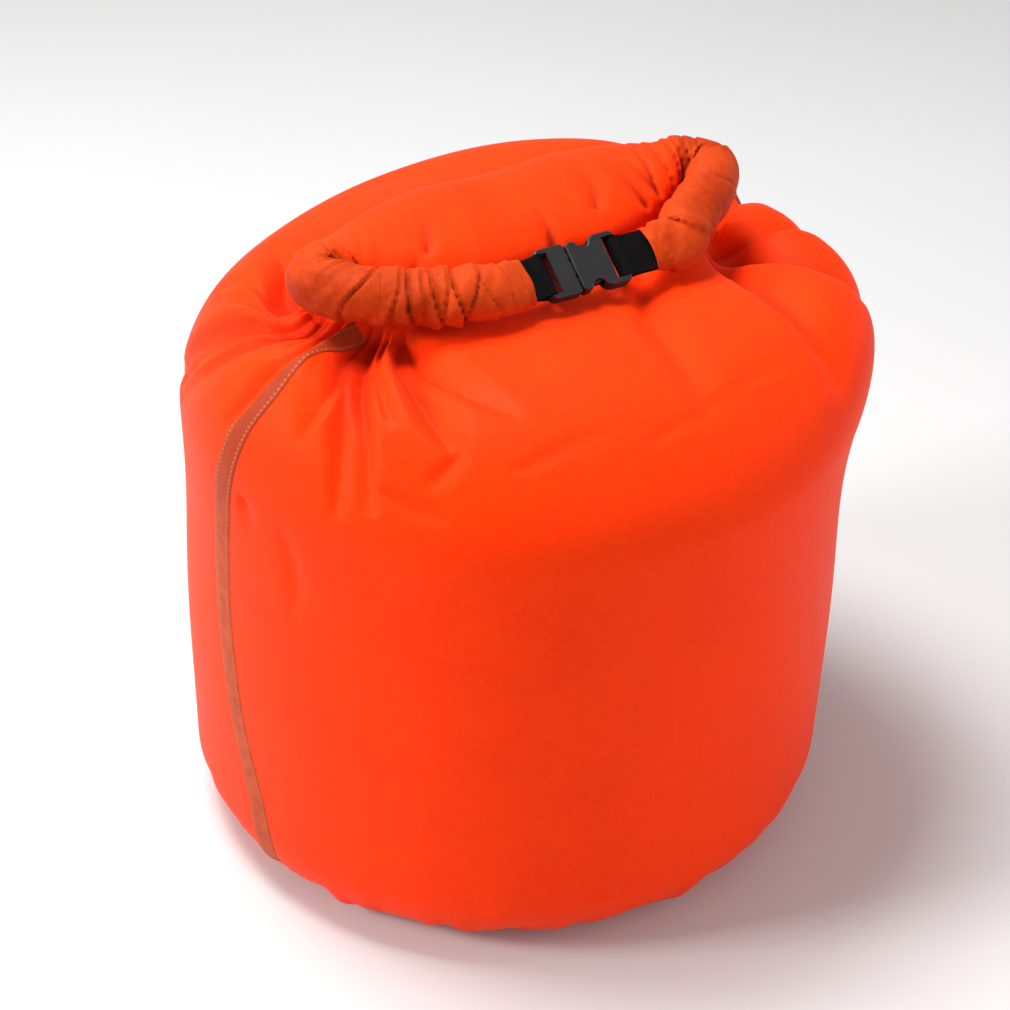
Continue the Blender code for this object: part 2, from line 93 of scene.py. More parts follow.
def soft_box(name, place, size, power):
    """A square area light at place that faces the middle of the bag."""
    light = bpy.data.objects.new(name, bpy.data.lights.new(name, "AREA"))
    scene.collection.objects.link(light)
    light.data.shape, light.data.size, light.data.energy = "SQUARE", size, power
    light.location = place
    light.rotation_euler = (CAMERA_TARGET - Vector(place)).to_track_quat("-Z", "Y").to_euler()


for box in SOFT_BOXES:
    soft_box(*box)
world = bpy.data.worlds.new("surround")
world.use_nodes = True
world.node_tree.nodes["Background"].inputs["Color"].default_value = (1, 1, 1, 1)
world.node_tree.nodes["Background"].inputs["Strength"].default_value = SURROUND
scene.world = world
print(len(SOFT_BOXES), "soft boxes,", sum(box[3] for box in SOFT_BOXES), "W")

# %% [markdown]
# ## Shader maths in plain Python
# A wall of nodes is hard to read, so a small class wraps a socket and lets `mask * 0.5 + 1` add
# the Math nodes. Any other node comes from one method.

# %% The node helpers
class Value:
    """A socket of a material's node tree, with the operators that the finishes below use."""

    def __init__(self, tree, socket):
        self.tree, self.socket = tree, socket

    def node(self, kind, settings=None, inputs=None, output=0):
        """Adds a node of that kind with its settings and inputs, and returns one of its outputs."""
        made = self.tree.nodes.new(kind)
        for name, value in (settings or {}).items():
            setattr(made, name, value)
        for name, value in (inputs or {}).items():
            target = made.inputs[name]
            if isinstance(value, Value):
                self.tree.links.new(value.socket, target)
            else:
                target.default_value = value
        return Value(self.tree, made.outputs[output])

    def math(self, operation, other=None, clamp=False):
        inputs = {0: self} if other is None else {0: self, 1: other}
        return self.node("ShaderNodeMath", {"operation": operation, "use_clamp": clamp}, inputs)

    def __add__(self, other):
        return self.math("ADD", other)

    def __mul__(self, other):
        return self.math("MULTIPLY", other)

    def __sub__(self, other):
        return self.math("SUBTRACT", other)

    def __rsub__(self, other):
        return self.node("ShaderNodeMath", {"operation": "SUBTRACT"}, {0: other, 1: self})

    __radd__, __rmul__ = __add__, __mul__

    def ramp(self, low, high):
        """0 where the value is at low, 1 where it is at high, and straight between."""
        return self.node("ShaderNodeMapRange", {"clamp": True},
                         {0: self, 1: low, 2: high, 3: 0.0, 4: 1.0})

    def noise(self, scale, detail=3.0, roughness=0.5):
        """Soft noise at these coordinates, with scale features per metre."""
        return self.node("ShaderNodeTexNoise", {}, {
            "Vector": self, "Scale": scale, "Detail": detail, "Roughness": roughness})

    def mix(self, first, second):
        """The colour first where the value is 0 and second where it is 1."""
        return self.node("ShaderNodeMix", {"data_type": "RGBA"},
                         {0: self, 6: first, 7: second}, output=2)

    def part(self, axis):
        """One coordinate of a vector: 0 is X, 1 is Y and 2 is Z."""
        return self.node("ShaderNodeSeparateXYZ", {}, {"Vector": self}, output=axis)

    def own_uv(self):
        """The piece's own UV, in the same material."""
        return self.node("ShaderNodeUVMap", output="UV")

    def in_crease(self):
        """How deep the cloth lies in a crease here, from 0 to 1, as the mesh holds it: the mask of the
        painted crease shade.
        """
        return self.node("ShaderNodeAttribute", {"attribute_name": "sunk"}, output=2)


def finish(name, **constants):
    """A new material: its Object coordinates, its shader, and the shader's constant inputs set."""
    material = bpy.data.materials.new(name)
    material.use_nodes = True
    tree = material.node_tree
    shader = tree.nodes["Principled BSDF"]
    for label, value in constants.items():
        shader.inputs[label.replace("_", " ")].default_value = value
    place = Value(tree, tree.nodes.new("ShaderNodeTexCoord").outputs["Object"])
    return material, place, shader


def feed(shader, label, value):
    """Links a varying value to one input of the shader."""
    value.tree.links.new(value.socket, shader.inputs[label])


def bump(height, strength, distance):
    """The normals of a surface raised by height, in parts of distance."""
    return height.node("ShaderNodeBump", {}, {
        "Height": height, "Strength": strength, "Distance": distance})


# %% [markdown]
# ## Coated fabric
# The fabric is a thin plain weave with a rubbery coat. It needs a fine grain that breaks up the
# sheen and a slight cloudiness. The creases are in the mesh, and their bottoms get painted shade:
# the colour darkens with how deep the cloth lies in a crease.

# %% The coat that both cloths share
ORANGE = (0.940, 0.038, 0.0010, 1)
DEEP_ORANGE = (0.880, 0.030, 0.0009, 1)
# Painted shade: the darker colour that the bottoms of the creases are painted with.
PAINTED_CREASE_SHADE = (0.42, 0.009, 0.0010, 1)
SOFT_COAT = {
    "IOR": 1.35, "Specular_IOR_Level": 0.20, "Specular_Tint": (1.0, 0.62, 0.36, 1),
    "Sheen_Weight": 0.04, "Sheen_Roughness": 0.5, "Sheen_Tint": (1.0, 0.62, 0.42, 1),
}


def coated_cloth(name, cloud_scale, smoothest):
    """A finish with the coat, its grain and its roughness. Also returns its coordinates, its shader,
    the two noises that vary its colour, and the colour of the cloth's outer side."""
    material, place, shader = finish(name, **SOFT_COAT)
    cloud = place.noise(cloud_scale, 3.0)
    grain = place.noise(1500.0, 2.0, 0.6)
    flecks = place.noise(420.0, 4.0, 0.7)
    outer_side = (cloud * 0.35 + flecks * 0.65).ramp(0.36, 0.56).mix(DEEP_ORANGE, ORANGE)
    feed(shader, "Roughness", grain * 0.2 + cloud * 0.15 + smoothest)
    feed(shader, "Normal", bump(grain * 0.6 + flecks * 0.4, 0.22, 0.0004))
    return material, place, shader, cloud, flecks, outer_side


# %% The cloth of the panels
coated, place, shader, cloud, flecks, outer_side = coated_cloth("coated_fabric", 22.0, 0.36)
# Painted shade: the colour darkens towards the crease shade colour as the cloth lies deeper in a crease.
feed(shader, "Base Color", (place.in_crease() * 0.75).mix(outer_side, PAINTED_CREASE_SHADE))
print("finish", coated.name, "with", len(coated.node_tree.nodes), "nodes")

# %% The cloth of the roll
# The arms of the roll are painted darker as shade, since they face forward and down, away from the
# light above, and the bottoms of the roll's creases get painted shade too. The U of the roll is
# the length along it in metres.
# Painted shade for the two arms, mottled between a darker and a lighter shaded tone.
ARM_SHADE_DARK, ARM_SHADE_LIGHT = (0.34, 0.023, 0.0020, 1), (0.52, 0.046, 0.0050, 1)
# Painted shade for the bottoms of the roll's creases.
ROLL_CREASE_SHADE = (0.16, 0.006, 0.0010, 1)
rolled, place, shader, cloud, flecks, outer_side = coated_cloth("rolled_fabric", 30.0, 0.38)
along = place.own_uv().part(0)
# Arms is 1 on the two arms, where the painted shade takes the place of the cloth's colour.
arms = 1 - along.ramp(0.108, 0.134) * along.ramp(0.306, 0.290)
painted_arm_shade = (cloud * 0.6 + flecks * 0.4).ramp(0.36, 0.60).mix(ARM_SHADE_DARK, ARM_SHADE_LIGHT)
# Painted shade: the colour darkens towards the roll's crease shade as the cloth lies deeper in a crease.
feed(shader, "Base Color", (place.in_crease() * 0.8).mix(arms.mix(outer_side, painted_arm_shade), ROLL_CREASE_SHADE))
print("finish", rolled.name, "with", len(rolled.node_tree.nodes), "nodes")

# %% [markdown]
# ## Meshes from arrays
# Every new surface here is a grid of points worked out as one numpy array.

# %% Grid helpers
def grid_faces(rows, columns, around=False):
    """The quads of a grid whose points are numbered row by row. Around joins the last column to
    the first."""
    across = columns if around else columns - 1
    row, column = np.meshgrid(np.arange(rows - 1), np.arange(across), indexing="ij")
    here, beside = row * columns + column, row * columns + (column + 1) % columns
    return np.stack([here, beside, beside + columns, here + columns], -1).reshape(-1, 4)


def make_piece(name, points, faces, material, uv=None, sunk=None):
    """A smooth mesh object from an array of points, shaped (..., 3), and an array of quads. Sunk is
    how deep each point lies in a crease, from 0 to 1, kept as an attribute for the finishes, which
    use it to paint shade into the crease bottoms."""
    mesh = bpy.data.meshes.new(name)
    points = np.asarray(points, float).reshape(-1, 3)
    mesh.from_pydata(points.tolist(), [], np.asarray(faces).tolist())
    mesh.polygons.foreach_set("use_smooth", np.ones(len(mesh.polygons), bool))
    mesh.materials.append(material)
    if uv is not None:
        corner = np.empty(len(mesh.loops), np.int32)
        mesh.loops.foreach_get("vertex_index", corner)
        layer = mesh.uv_layers.new(name="uv")
        layer.data.foreach_set("uv", np.asarray(uv, float).reshape(-1, 2)[corner].ravel())
    if sunk is not None:
        layer = mesh.attributes.new("sunk", "FLOAT", "POINT")
        layer.data.foreach_set("value", np.asarray(sunk, float).ravel())
    piece = bpy.data.objects.new(name, mesh)
    scene.collection.objects.link(piece)
    return piece


def smooth_path(keys, values, places, period=None):
    """Catmull-Rom: a cubic through the values at the keys, whose slope at a key is that of the line
    between its neighbours. With a period, the path closes on itself."""
    keys, values = np.asarray(keys, float), np.asarray(values, float)
    places = np.asarray(places, float)
    if period:
        places = (places - keys[0]) % period + keys[0]
        keys = np.concatenate([keys - period, keys, keys + period])
        values = np.concatenate([values] * 3)
    slope = np.empty_like(values)
    across = (slice(None),) + (None,) * (values.ndim - 1)
    slope[1:-1] = (values[2:] - values[:-2]) / (keys[2:] - keys[:-2])[across]
    slope[0] = (values[1] - values[0]) / (keys[1] - keys[0])
    slope[-1] = (values[-1] - values[-2]) / (keys[-1] - keys[-2])
    span = np.clip(np.searchsorted(keys, places, side="right") - 1, 0, len(keys) - 2)
    step = (keys[span + 1] - keys[span])
    u = ((places - keys[span]) / step)[(...,) + (None,) * (values.ndim - 1)]
    step = step[(...,) + (None,) * (values.ndim - 1)]
    return ((2 * u**3 - 3 * u**2 + 1) * values[span] + (u**3 - 2 * u**2 + u) * slope[span] * step
            + (3 * u**2 - 2 * u**3) * values[span + 1] + (u**3 - u**2) * slope[span + 1] * step)


def ease(value, low, high):
    """0 below low, 1 above high, and a smooth step between."""
    t = np.clip((value - low) / (high - low), 0, 1)
    return t * t * (3 - 2 * t)


# %% [markdown]
# ## The shape of the bag
# Three ranges of one parameter, the level, follow the fabric up from the floor: 0 to 1 is the
# rounded bottom edge, 1 to 2 the wall and 2 to 3 the shoulder, which closes in to a ring under
# the roll. The ring is a few named points, because it is where the roll holds the fabric.

# %% Sizes of the body
RADIUS = 0.162
SHOULDER = 0.225
EDGE = 0.037
LEAN = (0.008, -0.005)
FRONT_PUFF, BACK_PUFF = 0.006, 0.030
RING_TURNS = (270, 300, 325, 345, 360, 375, 400, 425, 450, 475, 500, 525, 540, 555, 575, 600)
RING_POINTS = (
    (0.009, -0.024, 0.289), (0.055, -0.028, 0.290), (0.080, -0.026, 0.293), (0.096, -0.018, 0.297),
    (0.109, -0.006, 0.301), (0.116, 0.006, 0.303), (0.108, 0.016, 0.302), (0.073, 0.022, 0.296),
    (0.009, 0.024, 0.291), (-0.055, 0.022, 0.293), (-0.090, 0.016, 0.295), (-0.097, 0.006, 0.295),
    (-0.090, -0.006, 0.293), (-0.078, -0.018, 0.291), (-0.062, -0.026, 0.290), (-0.040, -0.028, 0.289),
)

SWELLS = (  # turn, level, spread in turn and in level, and mm outwards: it isn't even all round
    (130, 2.62, 50, 0.36, -27),
    (150, 2.15, 40, 0.25, 5),
    (330, 2.33, 30, 0.25, 13),
    (330, 1.85, 40, 0.35, -5.5),
    (8, 2.74, 44, 0.28, -27),
    (22, 2.62, 34, 0.26, -13),
    (152, 1.45, 40, 0.35, 2.3),
)


def body_surface(turn, level):
    """A point of the bag at a turn in degrees from +X and a level from 0 to 3. The edge and the
    shoulder are quarter circles, the shoulder's far end is led to the ring, air lifts the
    shoulder as sin(2 d) squared, the whole leans as it rises, and bell-shaped swells are added."""
    turn, level = np.broadcast_arrays(np.asarray(turn, float), np.asarray(level, float))
    angle = np.radians(turn)
    edge = np.clip(level, 0, 1) * math.pi / 2
    dome = np.clip(level - 2, 0, 1) * math.pi / 2
    radius = RADIUS - EDGE * (1 - np.sin(edge))
    height = EDGE * (1 - np.cos(edge)) + (SHOULDER - EDGE) * np.clip(level - 1, 0, 1)
    ring = smooth_path(RING_TURNS, RING_POINTS, turn, period=360)
    closing = 1 - np.cos(dome)
    lean = np.clip((height + 0.065 * np.sin(dome)) / SHOULDER, 0, 1)
    x = (radius * np.cos(angle) + LEAN[0] * lean) * (1 - closing) + ring[..., 0] * closing
    y = (radius * np.sin(angle) + LEAN[1] * lean) * (1 - closing) + ring[..., 1] * closing
    puff = FRONT_PUFF + (BACK_PUFF - FRONT_PUFF) * (1 + np.sin(angle)) / 2
    climb = np.where(level > 2, (ring[..., 2] - SHOULDER) * np.sin(dome), 0)
    z = height + climb + puff * np.sin(2 * dome) ** 2
    points = np.stack([x, y, z], -1)
    rise = dome * 0.8
    outer = np.stack([np.cos(angle) * np.cos(rise), np.sin(angle) * np.cos(rise), np.sin(rise)], -1)
    swell = sum(size * np.exp(-(((turn - t + 180) % 360 - 180) / across) ** 2 - ((level - l) / up) ** 2)
                for t, l, across, up, size in SWELLS)
    return points + outer * (swell * 0.001 * ease(3.02 - level, 0, 0.25))[..., None]


# %% [markdown]
# ## Creases
# The mouth is far wider than the roll's straight middle, so at the two bends the spare fabric
# folds into creases that fan out over the shoulder. Each crease is a line of (turn, level)
# points with a depth, and a width on each side, because a fold leans: one side is steep and the
# other runs out slowly. The same helper presses the creases into the roll further down.

# %% The two side seams
LEFT_SEAM = (  # level and turn
    (0.45, 193), (0.96, 193), (1.1, 191), (1.315, 186), (1.465, 184.3), (1.645, 183), (1.83, 183.5),
    (2.04, 185.5), (2.235, 188), (2.42, 192), (2.62, 193), (2.95, 194),
)
RIGHT_SEAM = ((0.45, 0), (1.5, 1), (2.0, 4), (2.3, 12), (2.6, 24), (2.95, 34))

# %% The creases of the body
BODY_CREASES = (
    # points, depth in mm, half width in mm before and after the line as the turn grows
    (((164, 3.0), (160, 2.90), (157, 2.78), (152, 2.56), (145, 2.28)), 7.0, 11, 5),
    (((171, 3.0), (172, 2.80), (168, 2.51), (159, 2.27), (148, 2.02)), 10.0, 5, 12),
    (((177, 3.0), (180, 2.75), (179, 2.58), (172, 2.33), (160, 2.06)), 9.0, 5, 11),
    (((182, 3.0), (185, 2.80), (187, 2.60), (184, 2.44)), 4.0, 3, 6),
    (((188, 3.0), (190, 2.75), (191, 2.60), (188, 2.35), (184, 2.2)), 6.0, 7, 4),
    (((196, 3.0), (198, 2.80), (202, 2.62), (203, 2.45), (202, 2.30)), 9.0, 9, 4),
    (((201, 3.0), (204, 2.82), (207.5, 2.69), (211, 2.50), (213.5, 2.38), (216.5, 2.16)), 12.0, 11, 5),
    (((203.5, 3.0), (208, 2.82), (211, 2.71)), 5.0, 3, 4),
    (((206, 3.0), (212, 2.87), (218, 2.79)), 5.0, 3, 6),
    (((209, 3.0), (215, 2.78), (220.5, 2.65), (225.5, 2.50), (231, 2.37)), 9.0, 4, 13),
    (((212, 3.0), (221, 2.80), (231, 2.66), (243, 2.52)), 6.0, 4, 10),
    (((205.5, 3.0), (209, 2.80), (214, 2.60), (219, 2.45)), 7.0, 5, 4),
    (((198.5, 3.0), (201, 2.75), (206, 2.50), (209, 2.30), (210, 2.10)), 7.0, 4, 8),
    (((174, 3.0), (175, 2.70), (170, 2.45), (163, 2.25), (158, 2.08)), 7.0, 4, 9),
    (((168, 3.0), (165, 2.75), (158, 2.50), (148, 2.32)), 6.0, 4, 8),
    (((231, 2.40), (228, 2.33), (225, 2.28)), 2.5, 4, 4),
    (((218, 2.24), (224, 2.20), (229, 2.19)), 1.5, 3, 4),
    (((350, 3.0), (345, 2.87), (337, 2.70), (331, 2.50), (329, 2.28), (330, 2.08)), 14.0, 5, 17),
    (((338, 3.0), (331, 2.90), (319, 2.78), (311, 2.62), (305, 2.42), (303, 2.25)), 9.0, 4, 14),
    (((300, 3.0), (290, 2.9), (282.5, 2.80), (279, 2.72), (276.8, 2.57), (274, 2.38)), 4.5, 4, 13),
    (((357, 3.0), (355, 2.80), (352, 2.60), (351, 2.35), (352, 2.2)), 8.0, 5, 10),
    (((5, 3.0), (7, 2.80), (8, 2.60), (11, 2.35), (12, 2.2)), 8.0, 9, 5),
    (((13, 3.0), (19, 2.80), (24, 2.60), (30, 2.38)), 8.0, 10, 5),
    (((22, 3.0), (34, 2.85), (45, 2.68), (52, 2.55)), 5.0, 9, 5),
    (((36, 3.0), (52, 2.88), (62, 2.76)), 2.5, 7, 5),
    (((155, 3.0), (146, 2.85), (137, 2.66), (130, 2.44)), 9.0, 5, 13),
    (((148, 3.0), (132, 2.87), (121, 2.74)), 4.0, 5, 9),
    (((136, 3.0), (118, 2.90), (108, 2.80)), 2.5, 4, 8),
    (((199, 1.98), (202, 1.86), (201, 1.72)), 1.5, 3, 5),
    (((190, 2.02), (193, 1.93)), 1.8, 3, 4),
    (((240, 2.36), (252, 2.44), (262, 2.46)), 0.9, 3, 5),
    (((262, 2.40), (285, 2.46), (305, 2.44), (322, 2.46)), 0.9, 3, 6),
)


CREASE_STEPS = 70
CREASE_REACH = 0.16  # metres from a crease's middle, beyond which it isn't felt
RIDGE_SHARE = 0.42
CROSSING_SHARE = 0.35


def pressed_in(points, surface, creases, ends=3.0):
    """How far each point is pressed in by the creases. Along a crease the depth stays near its
    full value and runs out quickly at its far end, as the root of what is left. Across it the
    profile is exp(-(distance / width) ** 1.2), sharp at the bottom, with a low ridge on the steep
    side. Where creases meet, the deeper one counts in full and the other in part."""
    total = np.zeros(len(points))
    for line, depth, before, after in creases:
        line = np.array(line, float)
        steps = np.linspace(0, len(line) - 1, CREASE_STEPS)
        along = smooth_path(np.arange(len(line)), line, steps)
        centres = surface(along[:, 0], np.minimum(along[:, 1], ends))
        beside = surface(along[:, 0] + 0.3, np.minimum(along[:, 1], ends)) - centres
        left = 1 - steps / steps[-1]
        near = np.flatnonzero(np.linalg.norm(points - centres.mean(0), axis=1) < CREASE_REACH)
        away = points[near][:, None] - centres[None]
        distance = np.linalg.norm(away, axis=-1)
        nearest = distance.argmin(1)
        distance = distance[np.arange(len(near)), nearest]
        side = np.einsum("ij,ij->i", away[np.arange(len(near)), nearest], beside[nearest])
        share = left[nearest] ** 0.6
        opening = 0.34 + 0.60 * np.sin(math.pi * np.clip(left[nearest], 0, 1) ** 0.9)
        width = np.where(side > 0, after, before) * 0.001 * opening
        groove = np.exp(-(distance / width) ** 1.2)
        steep = np.where((side > 0) == (after < before), 1.0, 0.3)
        ridge = RIDGE_SHARE * steep * np.exp(-((distance / width - 2.3) / 0.9) ** 2)
        pressed = depth * 0.001 * share * (groove - ridge)
        deeper, other = np.maximum(pressed, total[near]), np.minimum(pressed, total[near])
        total[near] = deeper + CROSSING_SHARE * other
    return total


# %% The grid that the cloth starts from
COLUMNS = 272
EDGE_ROWS, WALL_ROWS, SHOULDER_ROWS = 14, 29, 59
SEAM_LEVEL, SEAM_TOP = 0.45, 2.95
CROWDING = 0.19  # how far the columns crowd towards the two seams, in radians
GATHERED_WITHIN = 80  # degrees to each side of a seam over which the columns follow it
levels = np.concatenate([np.linspace(0, 1, EDGE_ROWS)[:-1], np.linspace(1, 2, WALL_ROWS)[:-1],
                         np.linspace(2, 3, SHOULDER_ROWS)])
SEAM_ROW = int(np.abs(levels - SEAM_LEVEL).argmin())


def seam_line(points, level):
    """The turn of a side seam at a level: it wanders, as the fabric is gathered unevenly."""
    line = np.array(points)
    return smooth_path(line[:, 0], line[:, 1], np.clip(level, SEAM_LEVEL, SEAM_TOP))


columns = np.arange(COLUMNS) * 360 / COLUMNS
columns = columns - np.degrees(CROWDING * np.sin(np.radians(2 * columns)))
by_left, by_right = (1 - ease(np.abs((columns - seam + 180) % 360 - 180), 0, GATHERED_WITHIN)
                     for seam in (180, 0))
turns = (columns[None, :] + (seam_line(LEFT_SEAM, levels)[:, None] - 180) * by_left[None, :]
         + seam_line(RIGHT_SEAM, levels)[:, None] * by_right[None, :])
start = body_surface(turns, np.repeat(levels[:, None], COLUMNS, 1))
print("body grid", start.shape, "seam row at level", round(levels[SEAM_ROW], 3))


def outward(points):
    """The unit normals of a grid that closes along its columns, from its two slopes."""
    around = np.roll(points, -1, 1) - np.roll(points, 1, 1)
    normal = np.cross(around, np.gradient(points, axis=0))
    return normal / np.maximum(np.linalg.norm(normal, axis=-1, keepdims=True), 1e-12)


def wrinkle(turn, level, waves):
    """A sum of sine waves with fixed, seeded phases, for low unevenness and the puckers of the
    bottom seam. Each wave is its count round the bag, how it turns with the level, and its size."""
    random = np.random.default_rng(11)
    total = 0
    for count, rise, size in waves:
        phase = random.uniform(0, 2 * math.pi, 2)
        total = total + size * np.sin(count * np.radians(turn) + rise * level + phase[0]) * (
            0.6 + 0.4 * np.sin(0.37 * count * np.radians(turn) + phase[1]))
    return total


# %% Creases, puckers and slack
CREASE_SCALE = 2.0
DEEPEST = 0.017
PUCKERS = ((17, 2, .0008), (29, -4, .0009), (43, 3, .0007), (61, -2, .0006))
SLACK = ((3, 1.3, .0012), (5, -2.1, .0009), (8, 3.0, .0005))

level_grid = np.repeat(levels[:, None], COLUMNS, 1)
pressed = pressed_in(start.reshape(-1, 3), body_surface, BODY_CREASES).reshape(start.shape[:2])
pressed *= CREASE_SCALE * (1 - 0.70 * ease(level_grid, 2.93, 3.0))
pressed = DEEPEST * np.tanh(pressed / DEEPEST)
at_seam, above_seam = (np.exp(-((level_grid - middle) / spread) ** 2)
                       for middle, spread in ((0.50, 0.16), (0.85, 0.25)))
puckers = wrinkle(turns, level_grid, PUCKERS) * (at_seam + 0.35 * above_seam)
slack = wrinkle(turns, level_grid, SLACK) * ease(level_grid, 0.6, 1.5)
creased = start + outward(start) * (puckers + slack - pressed)[..., None]
creased[0], creased[-1] = start[0], start[-1]
print("deepest crease mm", round(pressed.max() * 1000, 2))

# %% Cloth simulation
PRESSURE = 3.5
FRAMES = 16
HOLD_DEPTH, HOLD_FROM = 0.003, 0.15  # a crease is held in full from about this depth in metres
FARTHEST_MOVE = 0.006


def inflate(points, held, frames, pressure):
    """Runs Blender's Cloth with air pressure on a grid, held where held is 1, and returns the
    moved points."""
    rows, count = points.shape[:2]
    bag = make_piece("inflating", points, grid_faces(rows, count, around=True), coated)
    group = bag.vertex_groups.new(name="held")
    for weight in np.unique(np.round(held[held > 0], 1)):
        chosen = np.flatnonzero(np.isclose(np.round(held.ravel(), 1), weight))
        group.add(chosen.tolist(), float(weight), "REPLACE")
    cloth = bag.modifiers.new("cloth", "CLOTH")
    cloth.settings.quality = 5
    cloth.settings.tension_stiffness = 40
    cloth.settings.compression_stiffness = 40
    cloth.settings.shear_stiffness = 20
    cloth.settings.bending_stiffness = 0.05
    cloth.settings.use_pressure = True
    cloth.settings.uniform_pressure_force = pressure
    cloth.settings.vertex_group_mass = "held"
    cloth.settings.effector_weights.gravity = 0
    cloth.collision_settings.use_collision = False
    cloth.point_cache.frame_start, cloth.point_cache.frame_end = 1, frames
    for number in range(1, frames + 1):
        scene.frame_set(number)
    shown = bag.evaluated_get(bpy.context.evaluated_depsgraph_get()).data
    moved = np.empty(rows * count * 3)
    shown.vertices.foreach_get("co", moved)
    bpy.data.objects.remove(bag)
    scene.frame_set(1)
    return moved.reshape(points.shape)


held = np.clip(pressed / HOLD_DEPTH - HOLD_FROM, 0, 1)
held[0], held[-1] = 1, 1
body = creased
inflated = inflate(creased, held, FRAMES, PRESSURE)
moved = inflated - creased
length = np.linalg.norm(moved, axis=-1, keepdims=True)
body = creased + moved * np.minimum(1, FARTHEST_MOVE / np.maximum(length, 1e-9))
print("air moved it by mm", np.round(np.percentile(length, (5, 50, 95, 100)) * 1000, 2))

# %% The panels
half = COLUMNS // 2
# How deep the body cloth lies in a crease, from 0 to 1, which the finish paints as shade.
sunk = ease(pressed, 0.0025, 0.014)


def panel(name, first):
    """The body's columns from first, half way round, as one piece."""
    chosen = (np.arange(half + 1) + first) % COLUMNS
    part = body[SEAM_ROW:, chosen]
    return make_piece(name, part, grid_faces(*part.shape[:2]), coated, sunk=sunk[SEAM_ROW:, chosen])


front = panel("front_cloth", half)
back = panel("back_cloth", 0)
rings = np.linspace(0.03, 0.97, 8)[:, None, None] * body[:1] * [1, 1, 0]
low_part = np.concatenate([rings, body[:SEAM_ROW + 1]])
bottom = make_piece("bottom_cloth", low_part, grid_faces(*low_part.shape[:2], around=True), coated)
for piece, node in ((front, "front_panel"), (back, "back_panel"), (bottom, "bottom_panel")):
    finer = piece.modifiers.new("finer", "SUBSURF")
    finer.levels = finer.render_levels = 1
    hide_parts(node)
    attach(piece, "bag")

# %% [markdown]
# ## The rolled mouth
# The mouth is rolled into a broad flat band, and its two ends are bent forward and buckled. One
# line runs from the left end, round the left bend, along the middle and round the right bend.
# Each place on it has a width, a thickness and a tilt, and an oval carried along it is the roll.

# %% The line of the roll
ROLL_TOP_OF_NECK = 0.304
LEFT, MIDDLE, RIGHT = -0.099, 0.009, 0.1105
FRONT = -0.047
LEFT_END, RIGHT_END = -0.0150, 0.0492
LEAN_OF_ARMS = math.radians(38)


def roll_points():
    """X, Y, Z, half width, half thickness and tilt at 17 places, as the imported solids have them."""
    low, back, tilt = ROLL_TOP_OF_NECK, 0.004, math.radians(17)
    mouth, end = (0.0112, 0.0040, -LEAN_OF_ARMS), (0.0122, 0.0085, -LEAN_OF_ARMS)
    arm, turn = (0.0124, 0.0102, -0.8 * LEAN_OF_ARMS), (0.0122, 0.0122, -0.3 * LEAN_OF_ARMS)
    begin, middle = (0.0235, 0.0128, 0.75 * tilt), (0.0315, 0.0135, tilt)
    return np.array([
        (LEFT_END, FRONT, low, *mouth), (LEFT_END - 0.019, FRONT + 0.0005, low, *end),
        (LEFT + 0.037, FRONT + 0.010, low, *arm), (LEFT + 0.010, FRONT + 0.026, low + 0.002, *turn),
        (LEFT, FRONT + 0.042, low + 0.003, *turn), (LEFT + 0.012, back + 0.001, low + 0.003, *turn),
        (LEFT + 0.034, back + 0.002, low + 0.002, *begin), (LEFT + 0.066, back, low + 0.003, *middle),
        (MIDDLE, back, low + 0.003, *middle), (RIGHT - 0.066, back, low + 0.005, *middle),
        (RIGHT - 0.034, back + 0.002, low + 0.008, *begin), (RIGHT - 0.012, back + 0.001, low + 0.011, *turn),
        (RIGHT, FRONT + 0.042, low + 0.011, *turn), (RIGHT - 0.010, FRONT + 0.026, low + 0.009, *turn),
        (RIGHT - 0.034, FRONT + 0.009, low + 0.004, *arm),
        (RIGHT_END + 0.019, FRONT + 0.0005, low + 0.0005, *end),
        (RIGHT_END, FRONT, low, *mouth)])


line_rows = smooth_path(np.arange(17), roll_points(), np.linspace(0, 16, 769))
line_length = np.concatenate([[0], np.cumsum(np.linalg.norm(np.diff(line_rows[:, :3], axis=0), axis=1))])
ROLL_LENGTH = line_length[-1]
print("roll length", round(ROLL_LENGTH, 4), "joins at", np.round(line_length[::48][[3, 6, 10, 13]], 4))


def roll_surface(place, angle):
    """A point of the roll at a length along its line and an angle in degrees round it: 0 is the
    outer side of the loop, 90 the top and 180 the inner side. The section is a rounded box,
    cos and sin raised to 0.92, and it is broad where it is flat."""
    place, angle = np.broadcast_arrays(np.asarray(place, float), np.asarray(angle, float))
    rows = np.stack([np.interp(place, line_length, column) for column in line_rows.T], -1)
    ahead = np.stack([np.interp(place + 0.002, line_length, c) - np.interp(place - 0.002, line_length, c)
                      for c in line_rows[:, :3].T], -1)
    ahead /= np.linalg.norm(ahead, axis=-1, keepdims=True)
    out = np.cross([0, 0, 1], ahead)
    out /= np.linalg.norm(out, axis=-1, keepdims=True)
    up, tilt = np.cross(ahead, out), rows[..., 5:6]
    wide, thin = np.cos(tilt) * out + np.sin(tilt) * up, np.cos(tilt) * up - np.sin(tilt) * out
    c, s = np.cos(np.radians(angle)), np.sin(np.radians(angle))
    across = rows[..., 3] * np.sign(c) * np.abs(c) ** 0.92
    over = rows[..., 4] * np.sign(s) * np.abs(s) ** 0.92
    return rows[..., :3] + across[..., None] * wide + over[..., None] * thin


# %% [markdown]
# The arms are scrunched: each pleat is a step in the radius, steep on one side, as where one
# fold of cloth lies over the next. The bends are pinched into a fan on their inner side.

